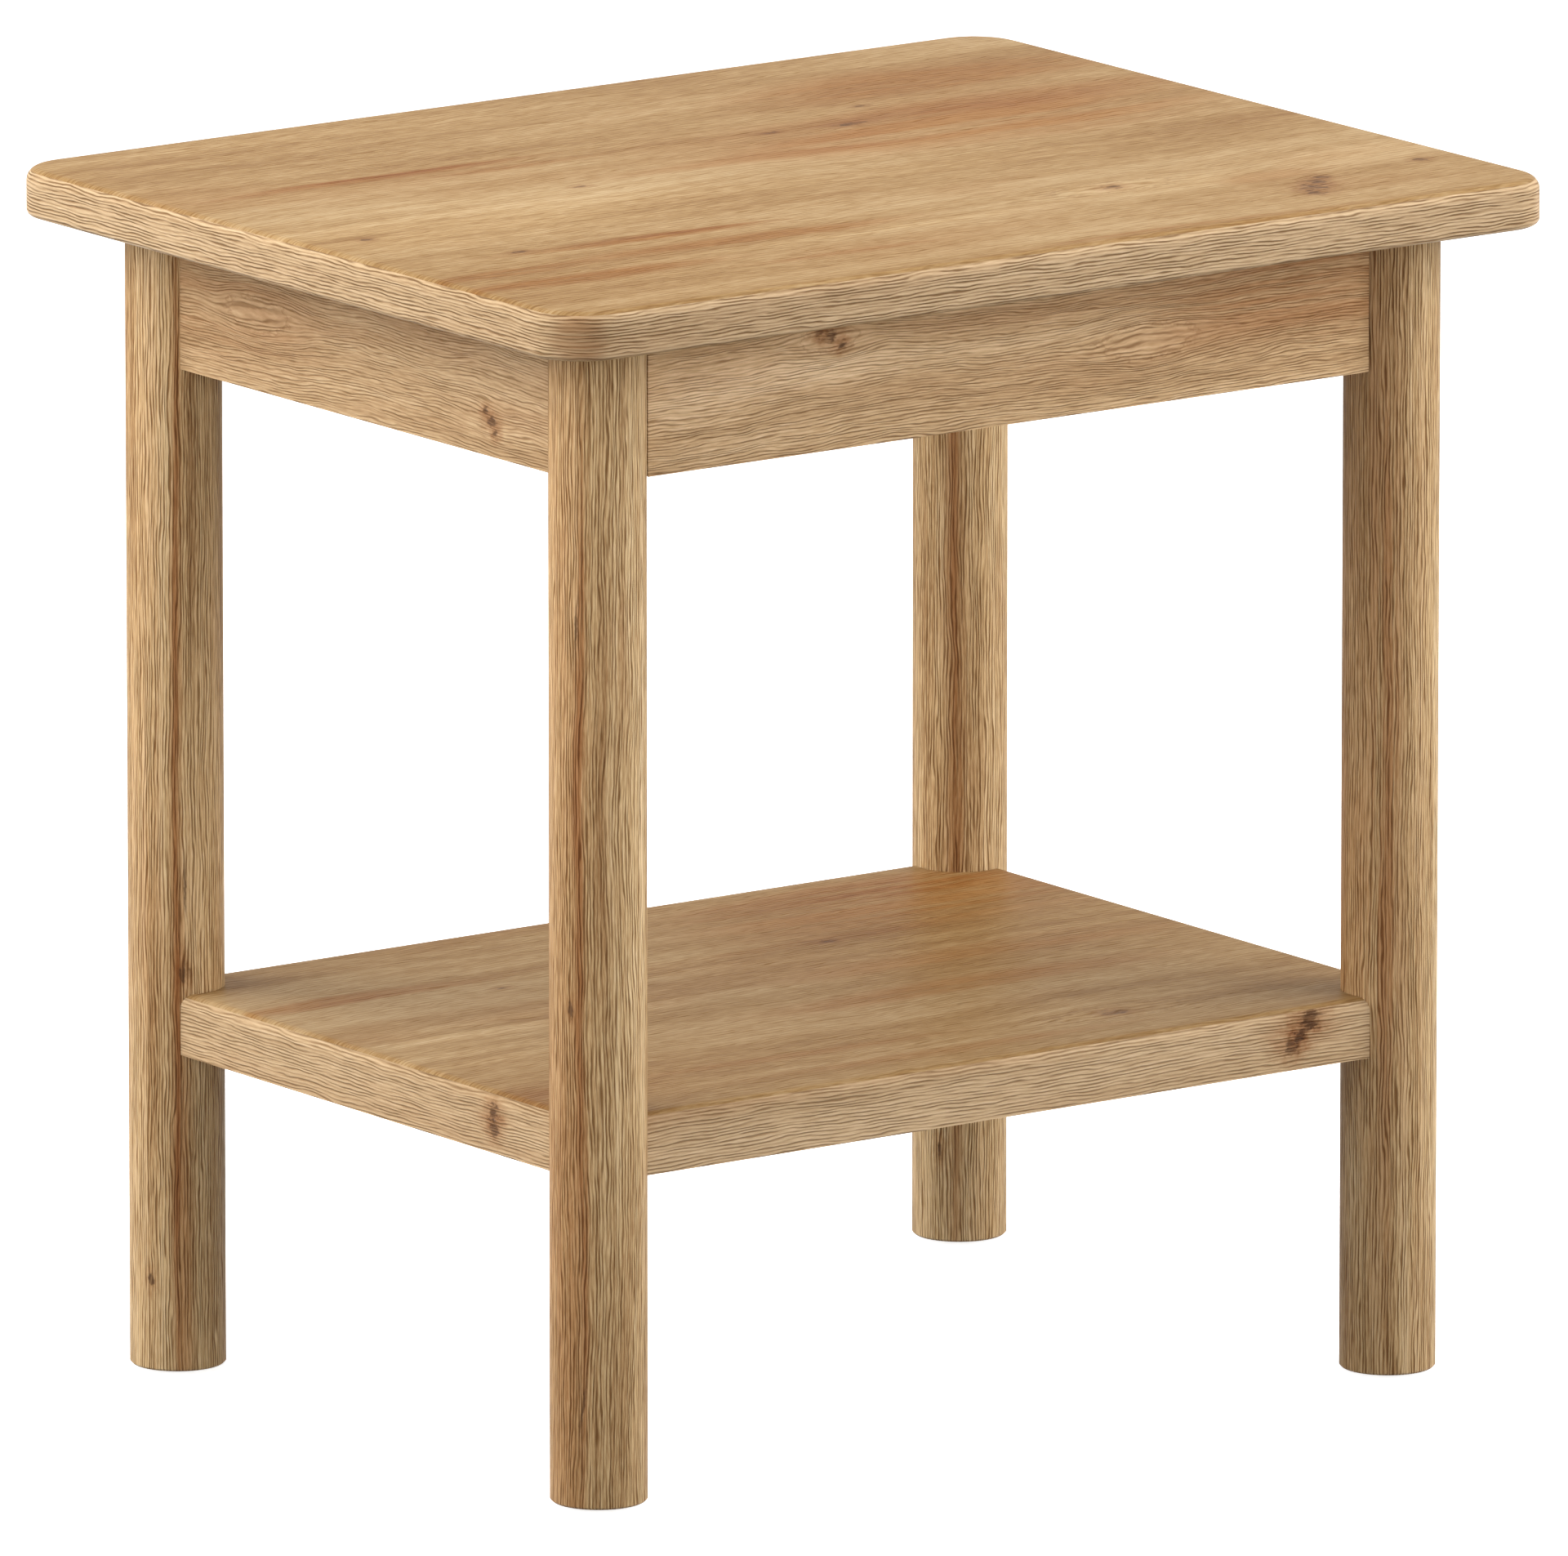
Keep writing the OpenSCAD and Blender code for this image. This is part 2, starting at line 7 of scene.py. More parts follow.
import bmesh
import bpy
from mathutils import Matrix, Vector

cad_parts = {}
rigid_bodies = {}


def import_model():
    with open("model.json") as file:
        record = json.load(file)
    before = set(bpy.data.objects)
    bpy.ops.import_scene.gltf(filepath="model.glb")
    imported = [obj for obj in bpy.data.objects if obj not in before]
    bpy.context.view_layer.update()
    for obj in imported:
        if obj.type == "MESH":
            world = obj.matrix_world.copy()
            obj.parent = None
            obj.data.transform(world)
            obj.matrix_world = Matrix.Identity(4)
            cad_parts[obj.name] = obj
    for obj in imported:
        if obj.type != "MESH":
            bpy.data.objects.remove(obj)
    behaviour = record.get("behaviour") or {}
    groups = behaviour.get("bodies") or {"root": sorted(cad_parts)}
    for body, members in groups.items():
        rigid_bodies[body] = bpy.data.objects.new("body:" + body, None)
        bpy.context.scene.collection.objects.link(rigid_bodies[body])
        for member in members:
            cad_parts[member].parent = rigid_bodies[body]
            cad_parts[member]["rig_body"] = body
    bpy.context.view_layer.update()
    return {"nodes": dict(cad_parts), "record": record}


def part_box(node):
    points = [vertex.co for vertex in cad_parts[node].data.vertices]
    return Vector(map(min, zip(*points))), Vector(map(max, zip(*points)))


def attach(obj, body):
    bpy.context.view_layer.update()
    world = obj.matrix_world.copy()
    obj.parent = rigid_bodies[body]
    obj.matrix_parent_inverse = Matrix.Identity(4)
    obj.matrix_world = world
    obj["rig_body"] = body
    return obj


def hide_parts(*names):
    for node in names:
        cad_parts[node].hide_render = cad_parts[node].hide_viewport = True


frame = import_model()
nodes = frame["nodes"]

MM = 1000.0
leg_lo, leg_hi = (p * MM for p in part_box("leg_rear_right"))
LEG_RADIUS = (leg_hi.x - leg_lo.x) / 2
LEG_X, LEG_Y = leg_lo.x + LEG_RADIUS, leg_lo.y + LEG_RADIUS    # a leg's axis, from the middle of the table
TOP_CORNER, SHELF_CORNER = 26.0, 2.0                           # radius of the corners, in plan

# The camera looks to the right of straight ahead and down, in degrees. It stands back from the middle of the
# table's foot, a hair to the right and up, in metres.
AZIMUTH, PITCH = 35.924, 12.2423
CAMERA_BACK, CAMERA_RIGHT, CAMERA_UP = 13.02004, 0.0007, 3.10007
LENS = 673.37

# Grain coordinates below the surface. Surfaces far apart in depth don't share their grain or their knots.
FACE, BOTTOM, BACK, UNDER, EDGE, REAR, RIGHT = 0, 60, 120, 300, 600, 700, 900


# ---------- Node graphs ----------

class Graph:
    """A material's nodes. Each call adds a node and gives back its output socket."""

    def __init__(self, name):
        self.mat = bpy.data.materials.new(name)
        self.mat.use_nodes = True
        self.tree = self.mat.node_tree
        self.tree.nodes.clear()

    def plug(self, socket, value):
        if isinstance(value, bpy.types.NodeSocket):
            self.tree.links.new(value, socket)
        else:
            socket.default_value = value

    def add(self, kind, inputs=None, out=0, **settings):
        n = self.tree.nodes.new("ShaderNode" + kind)
        for k, v in settings.items():
            setattr(n, k, v)
        for k, v in (inputs or {}).items():
            self.plug(n.inputs[k], v)
        return n.outputs[out]

    def math(self, op, a, b=0.0, c=0.0, clamp=False):
        return self.add("Math", {0: a, 1: b, 2: c}, operation=op, use_clamp=clamp)

    def vec(self, op, a, b=(0, 0, 0)):
        return self.add("VectorMath", {0: a, 1: b}, operation=op)

    def length(self, v):
        return self.add("VectorMath", {0: v}, out=1, operation="LENGTH")

    def parts(self, v):
        n = self.tree.nodes.new("ShaderNodeSeparateXYZ")
        self.plug(n.inputs[0], v)
        return n.outputs[0], n.outputs[1], n.outputs[2]

    def join(self, x, y, z):
        return self.add("CombineXYZ", {0: x, 1: y, 2: z})

    def noise(self, v, size, detail=2.0, rough=0.55):
        """Noise whose features are about size millimetres along each axis."""
        scaled = self.vec("MULTIPLY", v, tuple(1 / s for s in size))
        return self.add("TexNoise", {"Vector": scaled, "Scale": 1.0, "Detail": detail, "Roughness": rough})

    def sway(self, noise, amount, onto):
        """Adds noise, whose middle is 0.5, to a value: amount is the whole swing."""
        return self.math("MULTIPLY_ADD", self.math("SUBTRACT", noise, 0.5), amount, onto)

    def tint(self, fac, colour, by):
        """Multiplies a colour, as far as fac says."""
        return self.mix(fac, colour, by, "MULTIPLY")

    def metres(self):
        """Where the point is, in its object's own coordinates."""
        return self.add("TexCoord", out=3)

    def millimetres(self):
        return self.vec("MULTIPLY", self.metres(), (MM, MM, MM))

    def step(self, x, lo, hi, a=0.0, b=1.0):
        """A smooth step from a to b as x goes from lo to hi."""
        return self.add("MapRange", interpolation_type="SMOOTHSTEP", inputs={
            "Value": x, "From Min": lo, "From Max": hi, "To Min": a, "To Max": b})

    def ramp(self, x, stops):
        n = self.tree.nodes.new("ShaderNodeValToRGB")
        e = n.color_ramp.elements
        while len(e) < len(stops):
            e.new(0.5)
        for i, (at, colour) in enumerate(stops):
            e[i].position = at
            e[i].color = (*colour, 1)
        self.plug(n.inputs[0], x)
        return n.outputs[0]

    def mix(self, fac, a, b, mode="MIX"):
        """Mixes two colours. A colour mix has its factor and its colours in sockets 0, 6 and 7."""
        n = self.tree.nodes.new("ShaderNodeMix")
        n.data_type = "RGBA"
        n.blend_type = mode
        for i, v in ((0, fac), (6, a), (7, b)):
            self.plug(n.inputs[i], (*v, 1) if isinstance(v, tuple) else v)
        return n.outputs[2]

    def bump(self, height, depth):
        """Depth in metres for a height of 1."""
        return self.add("Bump", {"Height": height, "Distance": depth, "Strength": 1.0})

    def surface(self, colour, roughness, normal=None, **extra):
        n = self.tree.nodes.new("ShaderNodeBsdfPrincipled")
        self.plug(n.inputs["Base Color"], (*colour, 1) if isinstance(colour, tuple) else colour)
        self.plug(n.inputs["Roughness"], roughness)
        if normal is not None:
            self.plug(n.inputs["Normal"], normal)
        for k, v in extra.items():
            self.plug(n.inputs[k.replace("_", " ")], v)
        out = self.tree.nodes.new("ShaderNodeOutputMaterial")
        self.tree.links.new(n.outputs[0], out.inputs[0])
        return self.mat


# ---------- Oak decor ----------

KNOT = (0.085, 0.040, 0.018)
# These multiply the colour under them.
RED = (0.74, 0.60, 0.50)
AMBER = (0.76, 0.55, 0.34)
DARK = (0.62, 0.52, 0.44)
PORE = (0.38, 0.29, 0.21)
PALE = (1.20, 1.25, 1.34)

HONEY = [(0.28, (0.255, 0.134, 0.045)), (0.43, (0.318, 0.186, 0.070)),
         (0.53, (0.362, 0.222, 0.093)), (0.72, (0.440, 0.297, 0.148))]
SANDY = [(0.28, (0.387, 0.249, 0.129)), (0.43, (0.468, 0.313, 0.170)),
         (0.54, (0.518, 0.356, 0.200)), (0.72, (0.602, 0.426, 0.254))]
TAN = [(0.28, (0.449, 0.276, 0.135)), (0.43, (0.554, 0.354, 0.181)),
       (0.54, (0.617, 0.408, 0.217)), (0.72, (0.722, 0.504, 0.290))]
BROWN = [(0.28, (0.345, 0.194, 0.081)), (0.42, (0.478, 0.304, 0.143)),
         (0.54, (0.580, 0.393, 0.198)), (0.72, (0.705, 0.512, 0.290))]


def oak(name, tones, seed, spread=1.0, wave=7.0, curl=1.0, band=0.5, streak=0.5, line=0.5, pore=0.5,
        fleck=0.3, red=0.3, tint=RED, groove_size=(20, 1.5), groove_width=0.22, sway=2.8, turned=0.0,
        emboss=0.0002, rough=0.5, shine=0.12, ovals=(), streaks=(), knots=(), cracks=()):
    """Printed and embossed oak. The piece's grain attribute says how far each point lies along the grain,
    across it and below the surface.

    tones: colour stops from the dark grain to the pale one.  spread: how wide the bands are.
    wave, curl: how far the grain wanders, in long and in short waves.
    band, streak, line, pore, fleck, red: strengths of the bands, of the finer streaks and lines, of the dark
    in the grooves, of the pale between them, and of the clouds of tint.
    groove_size: (length, distance apart) of the embossed grooves.  groove_width: 0 to 0.5 of the distance.
    sway: how many distances a groove wanders.  turned: radius of a leg, which the grooves stand round.
    emboss: depth of the relief in metres.  shine: the shader's specular level.
    ovals: (along, across, half length, half height) of the faint ovals that the grain runs around.
    streaks: (along, across, half length, half width, slope, amount) of marks in the tint, or pale ones if
    the amount is below 0.  knots: (along, across, deep, half length, half height).
    cracks: (along, across, deep, half length)."""
    g = Graph(name)
    at = g.add("Attribute", out=1, attribute_name="grain")
    moved = g.vec("ADD", at, (seed * 137.0, seed * 59.0, seed * 83.0))
    u, v, w = g.parts(at)
    wander = g.noise(moved, (190, 70 * spread, 70 * spread), 2)
    v2 = g.sway(wander, 2 * wave, v)
    v2 = g.sway(g.noise(moved, (26, 10, 10), 1, 0.5), 2.4 * curl, v2)
    rims = []
    for ou, ov, hu, hv in ovals:
        du = g.math("DIVIDE", g.math("SUBTRACT", u, ou), hu)
        dv = g.math("SUBTRACT", v, ov)
        away = g.length(g.join(du, g.math("DIVIDE", dv, hv), 0.0))
        rims.append(away)
        v2 = g.math("SUBTRACT", v2, g.math("MULTIPLY", dv, g.step(away, 0.3, 2.4, 0.6, 0.0)))
    q = g.vec("ADD", g.join(u, v2, w), (seed * 91.0, seed * 47.0, seed * 29.0))

    bands = g.noise(q, (430, 22 * spread, 22 * spread), 2, 0.5)
    streaky = g.noise(q, (240, 4.6 * spread, 4.6 * spread), 3, 0.6)
    lines = g.noise(q, (9, 0.5 * spread ** 0.5, 0.5 * spread ** 0.5), 2, 0.6)
    tone = g.sway(lines, line, g.sway(streaky, streak, g.sway(bands, band, 0.5)))
    colour = g.ramp(tone, tones)

    patches = g.noise(moved, (210, 26 * spread, 26 * spread), 2, 0.5)
    colour = g.tint(g.math("MULTIPLY", g.step(patches, 0.52, 0.70), red), colour, tint)
    for su, sv, hu, hv, slope, amount in streaks:
        du = g.math("SUBTRACT", u, su)
        dv = g.math("MULTIPLY_ADD", du, -slope, g.math("SUBTRACT", v2, sv))
        away = g.length(g.join(g.math("DIVIDE", du, hu), g.math("DIVIDE", dv, hv), 0.0))
        soft, grainy = g.step(away, 0.30, 1.0, 1.0, 0.0), g.step(streaky, 0.36, 0.54, 0.30, 1.0)
        mark = g.math("MULTIPLY", g.math("MULTIPLY", soft, grainy), abs(amount))
        colour = g.tint(mark, colour, tint if amount > 0 else PALE)

    rag = g.noise(moved, (5.0, 2.6, 2.6), 2, 0.6)
    for away in rims:
        away = g.sway(rag, 0.9, away)
        rim = g.step(g.math("ABSOLUTE", g.math("SUBTRACT", away, 1.0)), 0.0, 0.10, 0.42, 0.0)
        colour = g.tint(rim, colour, DARK)
        colour = g.tint(g.step(away, 0.8, 1.0, 0.22, 0.0), colour, PALE)

    long, pitch = groove_size
    if turned:
        count = round(2 * math.pi * turned / pitch)    # whole, so that there is no seam
        across = g.math("MULTIPLY", g.math("ARCTAN2", w, v), count / (2 * math.pi))
        across = g.sway(wander, 5.0, across)
    else:
        across = g.math("DIVIDE", v2, pitch)
    bent = g.noise(q, (long, 3 * pitch, 3 * pitch), 2, 0.55)
    across = g.sway(bent, sway, across)
    apart = g.math("ABSOLUTE", g.math("SUBTRACT", g.math("FRACT", across), 0.5))
    broken = g.step(g.noise(q, (0.8 * long, 1.3 * pitch, 1.3 * pitch), 1, 0.5), 0.36, 0.60, 0.30, 1.0)
    groove = g.math("MULTIPLY", g.step(apart, 0.05, groove_width, 1.0, 0.0), broken)
    colour = g.tint(g.math("MULTIPLY", groove, pore), colour, PORE)
    colour = g.tint(g.math("MULTIPLY", g.step(apart, 0.22, 0.46), fleck), colour, PALE)

    height = g.math("MULTIPLY_ADD", lines, 0.6, g.math("MULTIPLY", groove, -1.0))
    if knots or cracks:
        ragged = g.math("MULTIPLY", g.math("SUBTRACT", rag, 0.5), 2.8)
    for ku, kv, kw, hu, hv in knots:
        d = g.vec("MULTIPLY", g.vec("SUBTRACT", at, (ku, kv, kw)), (1 / hu, 1 / hv, 1 / hv))
        away = g.math("ADD", g.length(d), ragged)
        colour = g.tint(g.step(away, 0.6, 2.6, 0.7, 0.0), colour, RED)
        core = g.math("MULTIPLY", g.step(away, 0.30, 1.05, 0.85, 0.0), g.step(lines, 0.38, 0.54, 0.25, 1.0))
        colour = g.mix(core, colour, KNOT)
        height = g.math("SUBTRACT", height, core)
    for cu, cv, cw, half in cracks:
        bent = g.sway(wander, 26.0, v)
        d = g.join(g.math("DIVIDE", g.math("SUBTRACT", u, cu), half),
                   g.math("MULTIPLY_ADD", g.math("SUBTRACT", bent, cv), 1.6, ragged),
                   g.math("MULTIPLY", g.math("SUBTRACT", w, cw), 0.18))
        slit = g.step(g.length(d), 0.35, 1.05, 0.75, 0.0)
        colour = g.mix(slit, colour, KNOT)
        height = g.math("SUBTRACT", height, slit)

    gloss = g.math("MULTIPLY_ADD", groove, 0.18, rough)
    return g.surface(colour, gloss, g.bump(height, emboss), Specular_IOR_Level=shine)


# Darkens a set of tones by a factor; the pieces that use it get painted shade from it.
def shaded(tones, by):
    return [(at, tuple(by * c for c in colour)) for at, colour in tones]


def on_leg(z, side):
    """Grain coordinates of the point on a leg at height z that the camera sees side millimetres right of the
    leg's middle."""
    a = math.radians(-AZIMUTH) - math.acos(side / LEG_RADIUS)
    return z, LEG_RADIUS * math.cos(a), LEG_RADIUS * math.sin(a)


BOARD = dict(band=0.70, line=0.9, pore=0.34, groove_size=(26, 2.8), fleck=0.22, tint=AMBER, emboss=0.00006,
             rough=0.45, shine=0.25)
BAND = dict(groove_width=0.28, sway=2.0, fleck=0.65, curl=0.5, rough=0.52)
PANEL = dict(spread=1.25, line=0.8, groove_size=(28, 1.4), groove_width=0.26, rough=0.52)
LEG = dict(spread=0.9, wave=3.2, band=0.8, streak=0.75, line=0.8, pore=0.95, groove_size=(36, 1.5),
           groove_width=0.32, fleck=0.50, turned=LEG_RADIUS, red=0.35, curl=0.6, emboss=0.00036, rough=0.52)

top_face = oak(
    "oak_top", HONEY, 1, spread=3.4, wave=10, streak=0.60, red=0.25, **BOARD, ovals=[(97, -119, 34, 11)],
    streaks=[(135, 44, 190, 60, 0, 1.0), (185, 80, 160, 26, 0, 0.7), (178, 138, 150, 46, 0, 0.9),
             (20, 30, 120, 14, 0, 0.6), (60, 77, 70, 9, 0, 0.7), (-160, 95, 130, 9, 0.02, 0.8),
             (-150, 98, 90, 4, 0, 0.9), (-90, 82, 70, 7, 0, 0.6), (-150, -91, 100, 9, -0.03, 1.0),
             (-130, -89, 80, 4, -0.03, 1.0), (-110, -119, 130, 14, 0, 0.9), (-240, -122, 70, 10, 0, 0.9),
             (-220, -149, 110, 13, 0, 1.0), (-90, -168, 80, 6, 0, 0.6), (170, -137, 40, 18, 0, 0.5),
             (70, -210, 150, 7, 0, 0.9), (-20, -60, 60, 5, 0, 0.3), (-190, -14, 190, 66, 0, -0.9),
             (-40, -134, 130, 9, 0, -0.7), (115, -125, 80, 22, 0, -0.5), (235, -118, 70, 30, 0, -0.5),
             (-160, 190, 190, 34, 0, -0.5), (60, -30, 200, 20, 0, -0.3)],
    knots=[(164, -182, FACE, 5, 6), (172, -172, FACE, 7, 7), (180, -163, FACE, 6, 6),
           (188, -155, FACE, 4, 4), (97, -119, FACE, 6, 4), (90, 72, FACE, 9, 3.5), (48, 76, FACE, 5, 2),
           (119, 104, FACE, 4, 2), (-95, 23, FACE, 4, 2.5), (-245, -21, FACE, 4, 3), (250, -148, FACE, 4, 3),
           (-205, -84, FACE, 5, 2)])
edge_face = oak(
    "oak_edge", SANDY, 2, spread=0.8, wave=2.2, band=0.35, streak=0.40, line=0.70, pore=0.85, red=0.15,
    groove_size=(24, 1.6), emboss=0.00038, **BAND,
    streaks=[(-268, 545, 18, 16, 0, 0.9), (-262, 541, 9, 12, 0, 0.3)])
shelf_face = oak(
    "oak_shelf", HONEY, 3, spread=3.0, wave=9, streak=0.65, red=0.3, **BOARD, ovals=[(92, -131, 34, 12)],
    streaks=[(150, 110, 170, 70, 0, 0.9), (150, 140, 150, 26, 0, 0.7), (120, 6, 150, 24, 0, 0.7),
             (70, -44, 150, 20, 0, 0.8), (70, 66, 90, 9, 0, 0.6), (-190, 95, 80, 10, 0, 0.9),
             (-160, 88, 90, 5, 0, 0.8), (-100, 94, 70, 6, 0, 0.6), (-215, -125, 60, 22, 0, 0.7),
             (-80, -118, 120, 9, 0, 0.6), (-20, -150, 160, 10, 0, 0.6), (60, -186, 100, 6, 0, 0.8),
             (-140, 5, 110, 26, 0, -1.0), (-200, -30, 110, 50, 0, -0.7), (110, -118, 90, 30, 0, -0.6),
             (-20, 60, 90, 22, 0, -0.4)],
    knots=[(90, -131, FACE, 7, 5), (72, 64, FACE, 5, 3), (-105, 72, FACE, 4, 2)])
shelf_edge = oak(
    "oak_shelf_edge", SANDY, 4, spread=1.1, wave=4.5, band=0.4, streak=0.45, line=0.60, pore=0.62, red=0.2,
    groove_size=(26, 1.6), emboss=0.00032, **BAND,
    streaks=[(163, 166, 34, 12, 0, 0.6), (-308, 166, 20, 12, 0, 0.5)],
    knots=[(168, 173, EDGE, 7, 5), (164, 168, EDGE, 5, 5), (157, 161, EDGE, 6, 5), (161, 164, EDGE, 3, 4),
           (-308, 168, EDGE, 5, 5), (-307, 162, EDGE, 4, 5)],
    cracks=[(170, 172, EDGE, 9)])
# The drawer front and the rear apron are paler at the left end, which is painted light, and darker at the
# right end, where a cloud of tint is deepened into painted shade.
panel = oak(
    "oak_panel", TAN, 5, wave=9, band=0.6, streak=0.55, pore=0.65, fleck=0.50, red=0.3, emboss=0.00030,
    **PANEL, ovals=[(-100, 519, 16, 6), (76, 497, 26, 8)],
    streaks=[(175, 510, 140, 32, 0.03, 1.0), (60, 520, 200, 8, 0.02, 0.5), (-140, 496, 100, 30, 0, -0.7)],
    knots=[(-100, 519, FACE, 5.0, 3.6), (-94, 515, FACE, 3, 3), (-107, 522, FACE, 3, 2.4)])
# The side aprons take the panel tones darkened, which is painted shade; their pale mark at the front end is
# painted light, and their dark mark at the rear end is painted shade.
side_panel = oak(
    "oak_side_panel", shaded(TAN, 0.80), 6, wave=8, band=0.5, streak=0.5, pore=0.60, fleck=0.45, red=0.4,
    emboss=0.00026, **PANEL, ovals=[(84, 503, 24, 8)],
    streaks=[(-110, 498, 70, 30, 0, -0.5), (110, 505, 110, 36, 0, 0.7)],
    knots=[(-98, 484, FACE, 4.6, 3.6), (-94, 488, FACE, 3, 2.6), (-101, 479, FACE, 3, 2.6)])


def stripe(side, half, amount, z=280, half_length=400):
    """A dark streak up a leg, at side millimetres right of its middle as the camera sees it."""
    return z, on_leg(0, side)[1], half_length, half, 0.0, amount


leg_looks = {
    "leg_front_left": oak(
        "oak_leg_a", BROWN, 11, **LEG,
        streaks=[stripe(-6.5, 1.5, 0.9), stripe(-6.5, 2.4, 0.7), stripe(-12, 6, 0.3), stripe(-19, 7, 0.5),
                 stripe(-14, 7, 0.6, 40, 220)],
        knots=[(*on_leg(230, -12), 4, 1.6)], cracks=[(*on_leg(52, -9), 20), (*on_leg(405, -7), 18)]),
    # The front right leg takes the leg tones darkened and dark streaks over most of the face the camera
    # sees: painted shade for the shadow on that leg.
    "leg_front_right": oak(
        "oak_leg_b_painted_shade", shaded(BROWN, 0.96), 12, **LEG,
        streaks=[stripe(-8, 6, 0.9), stripe(-1, 5, 1.0), stripe(3, 7, 0.7), stripe(12, 9, 0.5)]),
    "leg_rear_left": oak(
        "oak_leg_c", BROWN, 13, **LEG,
        streaks=[stripe(1, 1.6, 1.0), stripe(1, 3.5, 1.0), stripe(4, 7, 1.0, 60, 130), stripe(-12, 5, 0.5)],
        knots=[(*on_leg(188, 4), 6, 3), (*on_leg(45, -12), 4, 2)], cracks=[(*on_leg(228, 6), 18)]),
    "leg_rear_right": oak(
        "oak_leg_d", BROWN, 14, **LEG, streaks=[stripe(-2, 2, 0.9), stripe(-2, 5, 0.9)],
        knots=[(*on_leg(46, -9), 5, 2)]),
}


# ---------- Other materials ----------

def board(name, seed):
    """The light oak decor of the drawer box, the rail and the spacers."""
    pale = [(0.25, (0.50, 0.36, 0.22)), (0.45, (0.62, 0.47, 0.30)), (0.60, (0.70, 0.55, 0.37)),
            (0.8, (0.78, 0.64, 0.46))]
    return oak(name, pale, seed, spread=1.6, wave=5, band=0.8, streak=0.7, pore=0.40, groove_size=(24, 1.6),
               fleck=0.15, red=0.08, emboss=0.00008)


def metal(name, colour, rough, scale):
    """Plated or bright steel, with a cloudy sheen and marks about scale millimetres across."""
    g = Graph(name)
    at = g.millimetres()
    cloud = g.noise(at, (9, 9, 9), 3, 0.6)
    fine = g.noise(at, (scale, scale, scale), 2, 0.6)
    tone = g.ramp(cloud, [(0.3, tuple(0.84 * c for c in colour)), (0.7, colour)])
    blur = g.math("MULTIPLY_ADD", cloud, 0.16, g.math("MULTIPLY_ADD", fine, 0.12, rough - 0.12))
    return g.surface(tone, blur, g.bump(fine, 0.00002), Metallic=1.0)


def beech(name):
    g = Graph(name)
    at = g.millimetres()
    flecks = g.noise(at, (1.4, 1.4, 1.4), 2, 0.6)
    cloud = g.noise(at, (6, 6, 6), 2, 0.5)
    colour = g.ramp(g.math("MULTIPLY_ADD", flecks, 0.5, g.math("MULTIPLY", cloud, 0.5)),
                    [(0.36, (0.50, 0.32, 0.18)), (0.52, (0.66, 0.46, 0.29)), (0.68, (0.76, 0.58, 0.40))])
    return g.surface(colour, 0.62, g.bump(flecks, 0.00008))


def plastic(name):
    g = Graph(name)
    at = g.millimetres()
    moulded = g.noise(at, (0.5, 0.5, 0.5), 2, 0.6)
    colour = g.ramp(moulded, [(0.35, (0.030, 0.027, 0.024)), (0.65, (0.060, 0.055, 0.050))])
    return g.surface(colour, g.math("MULTIPLY_ADD", moulded, 0.25, 0.42), g.bump(moulded, 0.00005))


zinc = metal("zinc", (0.66, 0.68, 0.70), 0.34, 0.7)
zinc_sheet = metal("zinc_sheet", (0.60, 0.62, 0.64), 0.40, 0.5)
bright = metal("bright_steel", (0.74, 0.74, 0.76), 0.16, 0.3)
beech_wood = beech("beech")
black = plastic("glide_plastic")
inner = board("oak_inner", 21)
inner_side = board("oak_inner_side", 22)


# ---------- Pieces ----------

SLOTS = {s["node"]: s["material_slot"] for s in frame["record"]["subparts"]}
top_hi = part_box("tabletop")[1] * MM
shelf_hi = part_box("lower_shelf")[1] * MM


def is_sharp(edge, degrees):
    return len(edge.link_faces) == 2 and edge.calc_face_angle(0.0) > math.radians(degrees)


def piece(node, place, looks, soften=0.3, also=()):
    """A copy of a CAD node with welded points, softened edges and grain coordinates, shown in its place.
    place(centre of a face, its normal, its points) gives (each point's grain coordinates, index of the
    look).  soften is the width of the softened edges in millimetres.
    also: (test of an edge, width in millimetres, segments) for edges that are rounded first."""
    def bevel(edges, width, segments):
        bmesh.ops.bevel(bm, geom=edges, offset=width / MM, segments=segments, profile=0.5, affect="EDGES",
                        clamp_overlap=True)

    bm = bmesh.new()
    bm.from_mesh(nodes[node].data)
    bmesh.ops.remove_doubles(bm, verts=bm.verts, dist=1e-6)
    bmesh.ops.dissolve_limit(bm, angle_limit=math.radians(0.4), verts=bm.verts, edges=bm.edges)
    for test, width, segments in also:
        bevel([e for e in bm.edges if is_sharp(e, 30) and test(e)], width, segments)
    if soften:
        bevel([e for e in bm.edges if is_sharp(e, 35)], soften, 2)
    bmesh.ops.dissolve_degenerate(bm, dist=2e-6, edges=bm.edges)
    mesh = bpy.data.meshes.new("look_" + node)
    bm.normal_update()
    bm.to_mesh(mesh)
    bm.free()
    mesh.shade_smooth()
    mesh.set_sharp_from_angle(angle=math.radians(32))
    for look in looks:
        mesh.materials.append(look)
    grain = mesh.attributes.new("grain", "FLOAT_VECTOR", "CORNER")
    values = [0.0] * (3 * len(mesh.loops))
    for f in mesh.polygons:
        points = [mesh.vertices[i].co * MM for i in f.vertices]
        coords, f.material_index = place(f.center * MM, f.normal, points)
        for loop, c in zip(f.loop_indices, coords):
            values[3 * loop:3 * loop + 3] = c
    grain.data.foreach_set("vector", values)
    made = bpy.data.objects.new("look_" + node, mesh)
    bpy.context.scene.collection.objects.link(made)
    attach(made, nodes[node]["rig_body"])
    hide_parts(node)


